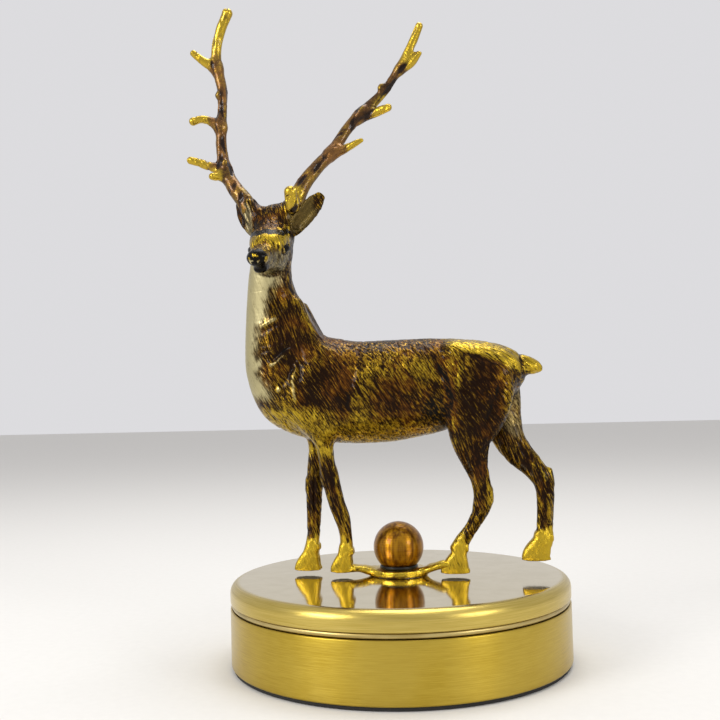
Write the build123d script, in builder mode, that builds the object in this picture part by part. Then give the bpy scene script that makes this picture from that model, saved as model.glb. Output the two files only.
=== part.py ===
"""A cast stag on the lid of a round metal box, modelled in millimetres.

The frame is +Z up with the origin on the table, at the centre of the box's underside. The stag
walks towards -X with its head turned to -Y. From the table up: a foam pad, a drawn cup, an inner
bowl that hangs in the cup by its rolled rim, a lid that sits on that rim, and a strap, a collar
and a ball knob that one screw clamps to the lid. The strap is brazed between the stag's two left
hooves and carries the whole figure. Each antler is a casting of its own, pegged into the skull.
"""

from build123d import *
import os
from math import cos, pi, sin

os.makedirs("parts", exist_ok=True)

# Driving dimensions of the box
BOX_RADIUS = 55.0
SHEET = 0.8  # wall of the cup and the lid
PAD_HEIGHT = 1.0
PAD_INSET = 0.7
CUP_CORNER = 0.6
CUP_TOP = 19.0
LID_TOP = 27.0
LID_SHOULDER = 3.1

# Inner bowl and its rolled rim, which nests in the cup's mouth and carries the lid
BOWL_SHEET = 0.6
BOWL_RADIUS = 52.8
BOWL_FLOOR = 4.0
BOWL_CORNER = 6.0
RIM_TUBE = 1.0
SEAT_GAP = 0.1  # left between parts that rest on each other
RIM_CENTRE_RADIUS = 53.6
MOUTH_RADIUS = BOX_RADIUS - SHEET
RIM_DIP = (RIM_TUBE**2 - (MOUTH_RADIUS - RIM_CENTRE_RADIUS) ** 2) ** 0.5
RIM_HEIGHT = CUP_TOP + RIM_DIP + SEAT_GAP
LID_SKIRT = RIM_HEIGHT + RIM_DIP + SEAT_GAP

# Locating ring under the lid
RING_SHEET = 0.7
RING_CLEARANCE = 0.3
RING_DROP = 9.0
RING_FLANGE = 3.5

# Clamp stack on the lid's axis: M4 screw, two washers, strap, collar and ball knob
SCREW_RADIUS = 1.95
THREAD_RADIUS = 2.0
CLEAR_RADIUS = 2.2
WASHER_RADIUS = 4.5
WASHER_HEIGHT = 0.8
SPRING_RADIUS = 3.5
SPRING_HEIGHT = 0.9
SPRING_SPLIT = 0.8
HEAD_RADIUS = 4.0
HEAD_HEIGHT = 2.4
RECESS_LENGTH = 4.4
RECESS_WIDTH = 0.9
RECESS_DEPTH = 1.4
STRAP_HEIGHT = 2.2
STRAP_EYE_RADIUS = 8.6
COLLAR_RADIUS = 6.2
COLLAR_HEIGHT = 1.1
BALL_RADIUS = 8.2
BALL_FLAT = 5.8  # the ball's centre above its flat underside
BALL_BORE_DEPTH = 7.0

# Stag: the middle of its body, and how far its hooves stand off the lid
STAG_MIDDLE = -1.0
HOOF_LIFT = 1.3
LEFT_TRACK = STAG_MIDDLE - 2.1  # y of the left hooves, on the strap
RIGHT_TRACK = STAG_MIDDLE + 2.2
HOOF_FLOOR = LID_TOP + HOOF_LIFT
RAISED_HOOF_FLOOR = LID_TOP + 4.3

# Antler pegs
PEG_RADIUS = 1.2
SOCKET_RADIUS = 1.25
PEG_LENGTH = 4.0
SOCKET_DEPTH = 4.3
SEAT_RADIUS = 5.0  # of the flat face that is cut on the skull for an antler
SEAT_CLEARANCE = 3.0

SECTION_POINTS = 8


def save(piece, name):
    """Label a finished piece and write it as its own STEP file."""
    piece.part.label = name
    export_step(piece.part, f"parts/{name}.step")


def lofted(stations, side=(0, 1, 0)):
    """A solid lofted through ovals that stand square to a path.

    A station is (x, y, z, half depth, half width). The width lies along side, and the depth
    square to it and to the path.
    """
    centres = [Vector(*station[:3]) for station in stations]
    last = len(centres) - 1
    with BuildPart() as limb:
        for i, (_, _, _, depth, width) in enumerate(stations):
            along = (centres[min(i + 1, last)] - centres[max(i - 1, 0)]).normalized()
            across = Vector(*side).cross(along)
            with BuildSketch(Plane(centres[i], x_dir=across, z_dir=along)):
                with BuildLine():
                    turns = [2 * pi * k / SECTION_POINTS for k in range(SECTION_POINTS)]
                    oval = [(depth * cos(turn), width * sin(turn)) for turn in turns]
                    Spline(oval, periodic=True)
                make_face()
        loft()
    return limb.part


def tapered_rod(points, radii):
    """A round rod with a blunt end through points, such as an antler's beam or tine."""
    return lofted([(*point, radius, radius) for point, radius in zip(points, radii)])


# ---------------------------------------------------------------- box

with BuildPart() as base_pad:
    with BuildSketch():
        Circle(BOX_RADIUS - PAD_INSET)
    extrude(amount=PAD_HEIGHT)
save(base_pad, "base_pad")

with BuildPart() as base_cup:
    with BuildSketch(Plane.XY.offset(PAD_HEIGHT)):
        Circle(BOX_RADIUS)
    extrude(amount=CUP_TOP - PAD_HEIGHT)
    fillet(base_cup.edges().sort_by(Axis.Z)[0], radius=CUP_CORNER)
    offset(amount=-SHEET, openings=base_cup.faces().sort_by(Axis.Z)[-1])
    fillet(base_cup.faces().sort_by(Axis.Z)[-1].edges(), radius=0.25)
save(base_cup, "base_cup")

with BuildPart() as inner_bowl:
    with BuildSketch(Plane.XY.offset(BOWL_FLOOR)):
        Circle(BOWL_RADIUS)
    extrude(amount=RIM_HEIGHT - BOWL_FLOOR)
    fillet(inner_bowl.edges().sort_by(Axis.Z)[0], radius=BOWL_CORNER)
    offset(amount=-BOWL_SHEET, openings=inner_bowl.faces().sort_by(Axis.Z)[-1])
    with BuildSketch(Plane.XZ):
        with Locations((RIM_CENTRE_RADIUS, RIM_HEIGHT)):
            Circle(RIM_TUBE)
    revolve(axis=Axis.Z)
save(inner_bowl, "inner_bowl")

with BuildPart() as lid_shell:
    with BuildSketch(Plane.XY.offset(LID_SKIRT)):
        Circle(BOX_RADIUS)
    extrude(amount=LID_TOP - LID_SKIRT)
    fillet(lid_shell.edges().sort_by(Axis.Z)[-1], radius=LID_SHOULDER)
    offset(amount=-SHEET, openings=lid_shell.faces().sort_by(Axis.Z)[0])
    fillet(lid_shell.faces().sort_by(Axis.Z)[0].edges(), radius=0.25)
    with Locations((0, 0, LID_TOP)):
        Hole(CLEAR_RADIUS, depth=2 * SHEET)
save(lid_shell, "lid_shell")

ring_radius = BOWL_RADIUS - BOWL_SHEET - RING_CLEARANCE
lid_underside = LID_TOP - SHEET
with BuildPart() as lid_ring:
    with BuildSketch(Plane.XY.offset(lid_underside - RING_DROP)):
        Circle(ring_radius)
        Circle(ring_radius - RING_SHEET, mode=Mode.SUBTRACT)
    extrude(amount=RING_DROP)
    with BuildSketch(Plane.XY.offset(lid_underside - RING_SHEET)):
        Circle(ring_radius)
        Circle(ring_radius - RING_FLANGE, mode=Mode.SUBTRACT)
    extrude(amount=RING_SHEET)
save(lid_ring, "lid_ring")

# ---------------------------------------------------------------- clamp stack

with BuildPart() as flat_washer:
    with BuildSketch(Plane.XY.offset(lid_underside - WASHER_HEIGHT)):
        Circle(WASHER_RADIUS)
        Circle(CLEAR_RADIUS, mode=Mode.SUBTRACT)
    extrude(amount=WASHER_HEIGHT)
save(flat_washer, "flat_washer")

spring_top = lid_underside - WASHER_HEIGHT
with BuildPart() as spring_washer:
    with BuildSketch(Plane.XY.offset(spring_top - SPRING_HEIGHT)):
        Circle(SPRING_RADIUS)
        Circle(CLEAR_RADIUS, mode=Mode.SUBTRACT)
        with Locations((SPRING_RADIUS, 0)):
            Rectangle(2 * SPRING_RADIUS, SPRING_SPLIT, rotation=20, mode=Mode.SUBTRACT)
    extrude(amount=SPRING_HEIGHT)
save(spring_washer, "spring_washer")

head_top = spring_top - SPRING_HEIGHT
ball_floor = LID_TOP + STRAP_HEIGHT + COLLAR_HEIGHT
with BuildPart() as clamp_screw:
    with BuildSketch(Plane.XY.offset(head_top - HEAD_HEIGHT)):
        Circle(HEAD_RADIUS)
    extrude(amount=HEAD_HEIGHT)
    fillet(clamp_screw.edges().sort_by(Axis.Z)[0], radius=1.1)
    with BuildSketch(Plane.XY.offset(head_top)):
        Circle(SCREW_RADIUS)
    extrude(amount=ball_floor + BALL_BORE_DEPTH - 1.0 - head_top)
    chamfer(clamp_screw.edges().sort_by(Axis.Z)[-1], length=0.5)
    with BuildSketch(Plane.XY.offset(head_top - HEAD_HEIGHT)):
        Rectangle(RECESS_LENGTH, RECESS_WIDTH)
        Rectangle(RECESS_WIDTH, RECESS_LENGTH)
    extrude(amount=RECESS_DEPTH, mode=Mode.SUBTRACT)
save(clamp_screw, "clamp_screw")

with BuildPart() as collar:
    with BuildSketch(Plane.XY.offset(LID_TOP + STRAP_HEIGHT)):
        Circle(COLLAR_RADIUS)
        Circle(CLEAR_RADIUS, mode=Mode.SUBTRACT)
    extrude(amount=COLLAR_HEIGHT)
    fillet(collar.faces().filter_by(GeomType.CYLINDER).sort_by(SortBy.RADIUS)[-1].edges(), radius=0.35)
save(collar, "collar")

with BuildPart() as ball_knob:
    with Locations((0, 0, ball_floor + BALL_FLAT)):
        Sphere(BALL_RADIUS)
    split(bisect_by=Plane.XY.offset(ball_floor), keep=Keep.TOP)
    with BuildSketch(Plane.XY.offset(ball_floor)):
        Circle(THREAD_RADIUS)
    extrude(amount=BALL_BORE_DEPTH, mode=Mode.SUBTRACT)
save(ball_knob, "ball_knob")

# ---------------------------------------------------------------- strap

arm_root = LID_TOP + STRAP_HEIGHT / 2
front_arm = lofted(
    [
        (-6.8, -1.6, arm_root, 1.0, 3.2),
        (-11.0, LEFT_TRACK + 0.3, arm_root + 0.8, 1.1, 2.6),
        (-16.5, LEFT_TRACK, arm_root + 1.6, 1.3, 2.3),
    ]
)
rear_arm = lofted(
    [
        (6.8, -1.6, arm_root, 1.0, 3.2),
        (10.5, LEFT_TRACK + 0.3, arm_root + 0.9, 1.1, 2.6),
        (15.5, LEFT_TRACK, arm_root + 1.9, 1.4, 2.3),
    ]
)
with BuildPart() as foot_strap:
    with BuildSketch(Plane.XY.offset(LID_TOP)):
        Circle(STRAP_EYE_RADIUS)
    extrude(amount=STRAP_HEIGHT)
    fillet(foot_strap.edges(), radius=0.5)
    add(front_arm)
    add(rear_arm)
    with BuildSketch(Plane.XY.offset(LID_TOP)):
        Circle(CLEAR_RADIUS)
    extrude(amount=2 * STRAP_HEIGHT, mode=Mode.SUBTRACT)
save(foot_strap, "foot_strap")

# ---------------------------------------------------------------- stag

torso = lofted(
    [
        (-44.0, STAG_MIDDLE, 95.5, 8.0, 5.5),
        (-39.5, STAG_MIDDLE, 94.0, 12.5, 8.8),
        (-33.0, STAG_MIDDLE, 91.5, 15.8, 10.8),
        (-25.0, STAG_MIDDLE, 89.0, 17.6, 12.0),
        (-14.0, STAG_MIDDLE, 87.2, 17.0, 12.6),
        (-2.0, STAG_MIDDLE, 87.5, 16.7, 12.6),
        (10.0, STAG_MIDDLE, 88.5, 15.9, 12.0),
        (20.0, STAG_MIDDLE, 89.5, 14.7, 11.4),
        (29.0, STAG_MIDDLE, 91.0, 11.8, 11.2),
        (36.0, STAG_MIDDLE, 92.2, 8.6, 9.2),
        (41.0, STAG_MIDDLE, 93.6, 5.0, 5.6),
    ]
)
neck = lofted(
    [
        (-33.0, STAG_MIDDLE, 88.0, 12.5, 10.4),
        (-35.6, STAG_MIDDLE, 98.0, 13.0, 10.4),
        (-37.4, -1.6, 106.0, 12.3, 9.6),
        (-39.2, -2.6, 113.5, 10.3, 8.7),
        (-40.1, -3.8, 120.0, 8.5, 8.1),
        (-40.0, -5.0, 126.5, 7.3, 7.9),
        (-39.0, -6.4, 134.0, 6.6, 7.0),
    ]
)
head = lofted(
    [
        (-38.6, 1.0, 139.6, 4.2, 4.4),
        (-38.6, -3.0, 138.6, 6.6, 6.4),
        (-38.5, -8.5, 136.8, 7.4, 7.0),
        (-38.4, -14.0, 134.4, 6.6, 6.7),
        (-38.4, -19.5, 132.1, 4.9, 4.9),
        (-38.3, -25.0, 129.9, 4.2, 3.8),
        (-38.3, -28.4, 128.5, 3.6, 3.3),
        (-38.3, -29.6, 128.1, 2.2, 2.2),
    ],
    side=(1, 0, 0),
)
crown_left = tapered_rod([(-37.5, -7.0, 139.5), (-35.0, -5.5, 145.0), (-31.8, -4.6, 150.2)], [6.0, 4.4, 3.0])
crown_right = tapered_rod([(-39.5, -7.0, 139.5), (-43.0, -5.5, 145.0), (-46.8, -4.6, 150.2)], [6.0, 4.4, 3.0])
left_ear = lofted(
    [
        (-34.0, -6.6, 138.0, 1.6, 1.5),
        (-30.4, -6.6, 142.0, 2.6, 1.6),
        (-27.0, -6.4, 146.0, 3.3, 1.5),
        (-24.0, -6.2, 150.0, 2.9, 1.2),
        (-21.4, -6.0, 153.6, 1.2, 0.6),
    ]
)
right_ear = lofted(
    [
        (-43.0, -6.0, 138.0, 1.6, 1.5),
        (-46.4, -4.6, 142.0, 2.4, 1.6),
        (-49.0, -2.6, 146.0, 2.6, 1.5),
        (-51.2, -0.4, 150.0, 1.9, 1.2),
        (-52.4, 1.6, 153.6, 0.8, 0.6),
    ]
)
tail = lofted(
    [
        (37.0, STAG_MIDDLE, 94.2, 3.6, 4.4),
        (41.5, STAG_MIDDLE, 94.6, 3.2, 3.6),
        (45.5, STAG_MIDDLE, 93.7, 2.5, 2.6),
        (48.3, STAG_MIDDLE, 92.8, 1.0, 1.1),
    ]
)
left_foreleg = lofted(
    [
        (-26.0, -6.5, 85.0, 6.5, 4.0),
        (-24.4, -6.2, 76.5, 4.6, 3.4),
        (-22.9, -5.6, 70.5, 3.0, 2.8),
        (-22.3, -5.2, 64.0, 2.7, 2.5),
        (-21.4, -4.8, 59.0, 2.9, 2.5),
        (-19.9, -4.3, 52.0, 2.9, 2.3),
        (-17.8, -3.7, 46.0, 2.7, 2.2),
        (-16.9, LEFT_TRACK, 39.5, 2.2, 2.0),
        (-17.0, LEFT_TRACK, 35.0, 2.7, 2.2),
        (-18.2, LEFT_TRACK, HOOF_FLOOR + 2.5, 3.5, 2.5),
        (-18.6, LEFT_TRACK, HOOF_FLOOR, 3.6, 2.6),
    ]
)
right_foreleg = lofted(
    [
        (-29.5, 4.5, 85.0, 6.0, 4.0),
        (-28.4, 4.2, 76.5, 4.4, 3.4),
        (-27.5, 3.6, 70.0, 2.9, 2.8),
        (-27.8, 3.2, 63.0, 2.8, 2.5),
        (-28.1, 2.8, 56.5, 2.9, 2.4),
        (-28.4, 2.3, 49.5, 2.7, 2.2),
        (-28.6, 1.8, 42.5, 2.4, 2.0),
        (-29.0, RIGHT_TRACK, 37.5, 2.2, 2.0),
        (-30.0, RIGHT_TRACK, 33.0, 3.1, 2.3),
        (-30.8, RIGHT_TRACK, HOOF_FLOOR, 4.4, 2.6),
    ]
)
left_hind_leg = lofted(
    [
        (29.0, -6.5, 93.0, 8.0, 3.6),
        (28.6, -7.4, 85.0, 10.4, 4.6),
        (26.8, -7.2, 77.0, 9.2, 4.6),
        (25.4, -6.4, 70.5, 6.9, 4.0),
        (25.6, -5.6, 64.5, 4.8, 3.2),
        (27.3, -5.0, 58.0, 3.3, 2.6),
        (28.2, -4.5, 52.5, 3.3, 2.5),
        (26.6, -4.0, 47.0, 2.8, 2.3),
        (23.6, -3.5, 41.8, 2.3, 2.0),
        (20.6, LEFT_TRACK, 37.0, 2.7, 2.2),
        (18.8, LEFT_TRACK, 32.5, 3.8, 2.4),
        (18.4, LEFT_TRACK, HOOF_FLOOR, 4.7, 2.7),
    ]
)
right_hind_leg = lofted(
    [
        (30.0, 4.4, 91.5, 6.5, 3.4),
        (32.8, 5.2, 85.5, 8.2, 4.5),
        (34.4, 5.1, 77.0, 7.1, 4.4),
        (37.2, 4.4, 69.8, 5.8, 3.8),
        (41.4, 3.4, 64.4, 4.6, 3.2),
        (45.9, 2.6, 60.0, 3.7, 2.8),
        (47.9, 2.2, 54.0, 3.1, 2.5),
        (48.0, 1.8, 48.0, 2.8, 2.2),
        (47.6, 1.4, 42.5, 2.8, 2.1),
        (46.9, RIGHT_TRACK, 37.5, 3.2, 2.2),
        (45.4, RIGHT_TRACK, 34.0, 3.9, 2.4),
        (44.8, RIGHT_TRACK, RAISED_HOOF_FLOOR, 3.9, 2.6),
    ]
)

# Antler routes, from the burr on the skull outwards. Each antler starts flat on its pedicle.
LEFT_BEAM = [
    (-30.9, -4.4, 151.8),
    (-27.9, -3.4, 157.2),
    (-24.4, -1.8, 162.4),
    (-20.9, 0.2, 166.9),
    (-17.4, 1.8, 171.8),
    (-14.2, 3.2, 176.8),
    (-10.4, 4.2, 181.2),
    (-5.9, 5.0, 185.4),
    (-1.6, 5.4, 189.8),
    (1.6, 5.4, 193.8),
    (4.6, 5.2, 198.0),
    (7.1, 4.9, 202.2),
    (9.3, 4.6, 206.6),
    (11.6, 4.0, 212.0),
]
LEFT_RADII = [2.7, 2.6, 2.5, 2.2, 2.0, 1.9, 1.9, 1.9, 1.7, 1.6, 1.5, 1.5, 1.3, 1.2]
LEFT_TINES = [
    ([(-30.2, -4.6, 152.9), (-31.0, -7.4, 154.0), (-31.5, -9.8, 155.2)], [2.1, 2.1, 2.0]),
    ([(-19.4, 0.8, 168.0), (-14.1, -0.2, 169.5), (-8.3, -1.5, 171.8)], [1.8, 1.5, 0.9]),
    ([(-9.6, 4.4, 181.2), (-4.5, 3.6, 182.1), (0.6, 2.4, 183.4)], [1.8, 1.6, 1.5]),
    ([(4.4, 5.2, 196.8), (8.0, 4.6, 198.6), (11.6, 3.6, 202.0)], [1.5, 1.4, 1.0]),
]
RIGHT_BEAM = [
    (-47.6, -4.4, 151.8),
    (-51.2, -3.4, 156.6),
    (-54.9, -2.0, 161.8),
    (-57.0, -0.6, 167.8),
    (-57.8, 0.4, 174.6),
    (-57.7, 1.0, 182.0),
    (-57.4, 1.8, 190.0),
    (-58.8, 2.4, 198.4),
    (-59.7, 2.6, 204.6),
    (-59.2, 2.3, 210.2),
    (-57.2, 2.0, 216.0),
    (-54.8, 1.4, 221.0),
]
RIGHT_RADII = [2.7, 2.6, 2.5, 2.1, 1.9, 1.7, 1.7, 1.8, 1.9, 1.7, 1.7, 1.8]
RIGHT_TINES = [
    ([(-55.4, -1.8, 163.0), (-58.2, -4.0, 161.3), (-60.2, -5.4, 161.2)], [1.8, 1.5, 1.2]),
    ([(-56.6, -1.0, 165.2), (-62.2, -3.1, 165.8), (-68.0, -4.6, 167.6)], [1.9, 1.6, 1.3]),
    ([(-57.8, 0.8, 179.4), (-63.0, -0.8, 182.4), (-67.6, -2.4, 181.4)], [1.9, 1.5, 1.5]),
    ([(-59.5, 2.6, 200.8), (-63.4, 1.4, 203.2), (-67.5, 0.0, 206.6)], [1.8, 1.5, 1.2]),
]


def peg_plane(beam):
    """The plane of an antler's seat: at its first point, square to its first stretch."""
    seat = Vector(*beam[0])
    return Plane(seat, z_dir=Vector(*beam[1]) - seat)


def antler_casting(beam, radii, tines):
    """A beam with its tines, and the peg below its seat."""
    shaft = tapered_rod(beam, radii)
    branches = [tapered_rod(*tine) for tine in tines]
    seat = peg_plane(beam)
    with BuildPart() as antler:
        add(shaft)
        for branch in branches:
            add(branch)
        split(bisect_by=seat, keep=Keep.TOP)
        with BuildSketch(seat):
            Circle(PEG_RADIUS)
        extrude(amount=-PEG_LENGTH)
    return antler


with BuildPart() as stag_casting:
    add(torso)
    add(neck)
    add(head)
    add(crown_left)
    add(crown_right)
    add(tail)
    add(left_foreleg)
    add(right_foreleg)
    add(left_hind_leg)
    add(right_hind_leg)
    add(left_ear)
    add(right_ear)
    for beam_route in (LEFT_BEAM, RIGHT_BEAM):
        seat_plane = peg_plane(beam_route)
        with BuildSketch(seat_plane):
            Circle(SEAT_RADIUS)
        extrude(amount=SEAT_CLEARANCE, mode=Mode.SUBTRACT)
        with BuildSketch(seat_plane):
            Circle(SOCKET_RADIUS)
        extrude(amount=-SOCKET_DEPTH, mode=Mode.SUBTRACT)
    add(foot_strap.part, mode=Mode.SUBTRACT)
save(stag_casting, "stag_casting")

antler_left = antler_casting(LEFT_BEAM, LEFT_RADII, LEFT_TINES)
save(antler_left, "antler_left")
antler_right = antler_casting(RIGHT_BEAM, RIGHT_RADII, RIGHT_TINES)
save(antler_right, "antler_right")
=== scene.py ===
"""A cast stag on the lid of a round brass box, finished for the studio.

The box comes from the frame. The stag, its antlers and the strap under its feet are modelled here
as a sculptor would, from clay forms that run into each other, then chased with short strokes and
patinated. Forms are worked in millimetres and become metres as each mesh is made. The stag walks
towards -X and turns its head to -Y.
"""

import math

import bpy
import numpy as np
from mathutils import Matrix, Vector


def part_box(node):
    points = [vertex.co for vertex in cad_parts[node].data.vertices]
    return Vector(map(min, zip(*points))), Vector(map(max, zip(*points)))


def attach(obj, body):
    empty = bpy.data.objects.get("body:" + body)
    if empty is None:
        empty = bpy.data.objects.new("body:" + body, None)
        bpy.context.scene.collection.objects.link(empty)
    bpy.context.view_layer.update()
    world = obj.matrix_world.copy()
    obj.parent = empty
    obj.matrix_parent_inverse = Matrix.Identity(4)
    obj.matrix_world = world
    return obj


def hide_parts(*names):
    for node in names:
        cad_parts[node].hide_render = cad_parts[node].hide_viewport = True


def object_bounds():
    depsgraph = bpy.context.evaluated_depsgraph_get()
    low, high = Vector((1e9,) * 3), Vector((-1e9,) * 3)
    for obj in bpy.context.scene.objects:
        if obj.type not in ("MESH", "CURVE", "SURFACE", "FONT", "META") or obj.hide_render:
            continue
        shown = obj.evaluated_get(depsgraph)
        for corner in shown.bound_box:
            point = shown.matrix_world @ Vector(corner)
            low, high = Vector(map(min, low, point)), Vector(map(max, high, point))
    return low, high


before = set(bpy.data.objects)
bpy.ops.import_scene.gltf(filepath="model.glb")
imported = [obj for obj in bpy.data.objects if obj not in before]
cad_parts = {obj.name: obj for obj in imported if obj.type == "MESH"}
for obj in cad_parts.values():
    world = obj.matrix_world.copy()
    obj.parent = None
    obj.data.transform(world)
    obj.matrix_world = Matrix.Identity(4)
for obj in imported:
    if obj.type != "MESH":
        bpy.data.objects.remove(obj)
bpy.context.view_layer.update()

import openvdb
from mathutils import Matrix, Vector

MM = 0.001
FAR = 9.0  # mm, the distance stored where the clay is empty
REACH = 3.4  # mm, how far outside a form its distance is still true
MIDDLE = -1.0  # y of the stag's middle plane
LID_TOP = 32.0  # mm, the height of the lid's top while the clay is worked
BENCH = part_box("lid_shell")[1][2] / MM - LID_TOP  # mm, how far a clay piece then moves up

# ---------------------------------------------------------------- clay


def smooth_run(stations, steps=5):
    """Stations with further ones between them, on a smooth curve through them all."""
    given = np.array(stations, float)
    ends = np.vstack([2 * given[0] - given[1], given, 2 * given[-1] - given[-2]])
    t = np.linspace(0, 1, steps, endpoint=False)[:, None]
    runs = []
    for a, b, c, d in zip(ends, ends[1:], ends[2:], ends[3:]):
        bend = (2 * a - 5 * b + 4 * c - d) * t**2 + (3 * b - a - 3 * c + d) * t**3
        runs.append(0.5 * (2 * b + (c - a) * t + bend))
    return np.vstack(runs + [given[-1:]])


def axes_along(start, end, side):
    """The direction from start to end, the one across it and the one level with side."""
    along = end - start
    length = np.linalg.norm(along)
    along = along / length
    across = np.cross(side, along)
    across /= np.linalg.norm(across)
    return length, along, across, np.cross(along, across)


def oval_distance(grid, start, end, side):
    """Distance in mm from points to a short length of limb with an oval section."""
    length, along, across, level = axes_along(start[:3], end[:3], side)
    rel = [grid[i] - start[i] for i in range(3)]

    def reach(v):
        return rel[0] * v[0] + rel[1] * v[1] + rel[2] * v[2]

    run = reach(along)
    t = np.clip(run / length, 0, 1)
    past, deep, wide = run - t * length, reach(across), reach(level)
    depth = start[3] + t * (end[3] - start[3])
    width = start[4] + t * (end[4] - start[4])
    blunt = np.minimum(depth, width)
    size = (deep / depth) ** 2 + (wide / width) ** 2 + (past / blunt) ** 2
    slope = (deep / depth**2) ** 2 + (wide / width**2) ** 2 + (past / blunt**2) ** 2
    tiny = 1e-6
    return (np.sqrt(size) - 1) * np.sqrt((size + tiny) / (slope + tiny / blunt**2))


def run_into(first, second, blend):
    """The smaller of two distances, going from one to the other smoothly over about blend mm."""
    overlap = np.maximum(blend - np.abs(first - second), 0)
    return np.minimum(first, second) - overlap**2 / (4 * blend)


def between(table, base, part):
    """Values at points part of the way from places in a table to the next. The table repeats."""
    total = np.zeros(len(base))
    for corner in np.ndindex(2, 2, 2):
        weight = np.prod(np.where(corner, part, 1 - part), axis=1)
        total += weight * table[tuple(((base + corner) % table.shape).T)]
    return total


class Clay:
    """A block of clay: on a regular grid, the distance in mm to the surface, negative inside."""

    def __init__(self, low, high, cell):
        self.low, self.cell = np.array(low, float), cell
        count = np.ceil((np.array(high) - self.low) / cell).astype(int) + 1
        self.field = np.full(count, FAR, np.float32)

    def window(self, low, high):
        """The slices of the grid between two corners, or None where they miss it."""
        first = np.maximum(np.floor((low - self.low) / self.cell).astype(int), 0)
        last = np.minimum(np.ceil((high - self.low) / self.cell).astype(int) + 1, self.field.shape)
        if (last <= first).any():
            return None
        return tuple(slice(a, b) for a, b in zip(first, last))

    def places(self, window):
        """The coordinates of a window's points, ready to broadcast."""
        counts = [np.arange(part.start, part.stop) for part in window]
        lines = [low + self.cell * count for low, count in zip(self.low, counts)]
        return np.meshgrid(*lines, indexing="ij", sparse=True)

    def limb(self, stations, side, steps):
        """The window round a limb, and the distance to it."""
        run = smooth_run(stations, steps)
        reach = run[:, 3:5].max() + REACH
        whole = self.window(run[:, :3].min(axis=0) - reach, run[:, :3].max(axis=0) + reach)
        if whole is None:
            return None, None
        near = np.full([w.stop - w.start for w in whole], FAR, np.float32)
        for start, end in zip(run, run[1:]):
            reach = max(start[3:5].max(), end[3:5].max()) + REACH
            corners = np.array([start[:3], end[:3]])
            part = self.window(corners.min(axis=0) - reach, corners.max(axis=0) + reach)
            if part is None:
                continue
            inner = tuple(slice(p.start - w.start, p.stop - w.start) for p, w in zip(part, whole))
            away = oval_distance(self.places(part), start, end, side)
            near[inner] = np.minimum(near[inner], away)
        return whole, near

    def add(self, stations, blend=2.0, side=(0, 1, 0), steps=5):
        """Press a limb on, running it into what is there over about blend mm."""
        window, near = self.limb(stations, side, steps)
        if window is not None:
            self.field[window] = run_into(self.field[window], near, blend)

    def cut(self, stations, blend=0.5, side=(0, 1, 0), steps=5):
        """Cut a limb's shape away, with the edges rounded over about blend mm."""
        window, near = self.limb(stations, side, steps)
        if window is not None:
            self.field[window] = -run_into(-self.field[window], near, blend)

    def add_disc(self, centre, radius, half_height, edge, blend):
        """Press on a flat disc with its edges rounded to edge mm."""
        window = self.window(np.array(centre) - radius - REACH, np.array(centre) + radius + REACH)
        x, y, z = self.places(window)
        out = np.sqrt((x - centre[0]) ** 2 + (y - centre[1]) ** 2) - radius + edge
        high = np.abs(z - centre[2]) - half_height + edge
        near = np.sqrt(np.maximum(out, 0) ** 2 + np.maximum(high, 0) ** 2) - edge
        near += np.minimum(np.maximum(out, high), 0)
        self.field[window] = run_into(self.field[window], near, blend)

    def keep(self, bottom, top):
        """Cut the block flat, keeping what lies between two heights."""
        _, _, z = self.places(tuple(slice(0, n) for n in self.field.shape))
        outside = np.maximum(bottom - z, z - top).astype(np.float32)
        self.field = np.maximum(self.field, outside)

    def read(self, points):
        """The distance at any points, read between the grid's own."""
        spot = (points - self.low) / self.cell
        base = np.clip(np.floor(spot).astype(int), 0, np.array(self.field.shape) - 2)
        return between(self.field, base, np.clip(spot - base, 0, 1))

    def skin(self):
        """The surface: points, four-sided faces and the outward direction at each point."""
        grid = openvdb.FloatGrid(FAR)
        grid.copyFromArray(self.field)
        points, quads = grid.convertToQuads(0.0)
        points = points.astype(float) * self.cell + self.low
        ways = 0.8 * self.cell * np.eye(3)
        slope = [self.read(points + way) - self.read(points - way) for way in ways]
        normals = np.stack(slope, axis=1)
        normals /= np.linalg.norm(normals, axis=1)[:, None] + 1e-9
        a, b, c = (points[quads[:, i]] for i in range(3))
        facing = (np.cross(b - a, c - a) * normals[quads[:, 0]]).sum()
        return points, quads if facing > 0 else quads[:, ::-1], normals

    def bulge(self, points, span):
        """How far the surface bulges at points: positive on ridges, negative in hollows."""
        ways = span * np.eye(3)
        ring = sum(self.read(points + way) + self.read(points - way) for way in ways)
        return (ring - 6 * self.read(points)) / span


# ---------------------------------------------------------------- the stag's forms
# A limb is a row of stations: x, y, z, half depth, half width. The width lies along Y unless a
# side is given.

TORSO = [
    (-41.2, -1, 101.2, 8.6, 6.2), (-38, -1, 99.2, 12.4, 8.4), (-34, -1, 96.8, 15.2, 10),
    (-29.5, -1, 94.6, 16.7, 10.9), (-22, -1, 93.2, 17.3, 11.3), (-13, -1, 92.1, 16.9, 12.2),
    (-3, -1, 92.2, 16.8, 12.3), (5, -1, 92.9, 16.2, 11.8), (13, -1, 93.8, 15.4, 10.6),
    (21, -1, 95.3, 13.6, 10), (29, -1, 96.8, 11, 9.8), (34.5, -1, 97.6, 8.4, 8.4),
    (38.8, -1, 98.6, 4.9, 5.6),
]
NECK = [
    (-33, -1, 93, 12, 9), (-36.4, -1.2, 104, 13.2, 9.6), (-37.8, -1.8, 112, 12, 8.8),
    (-39.2, -2.8, 119, 9.9, 7.9), (-40, -4, 125, 8.2, 7.4), (-40, -5.2, 131, 7.2, 7.2),
    (-39.2, -6.4, 138, 6.4, 6.6),
]
TAIL = [
    (37, -1, 100, 3.6, 4), (42.2, -1, 99.6, 3.2, 3.2), (45.2, -1, 98.9, 2.5, 2.5),
    (47.2, -1, 98.3, 1.3, 1.5),
]
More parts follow.
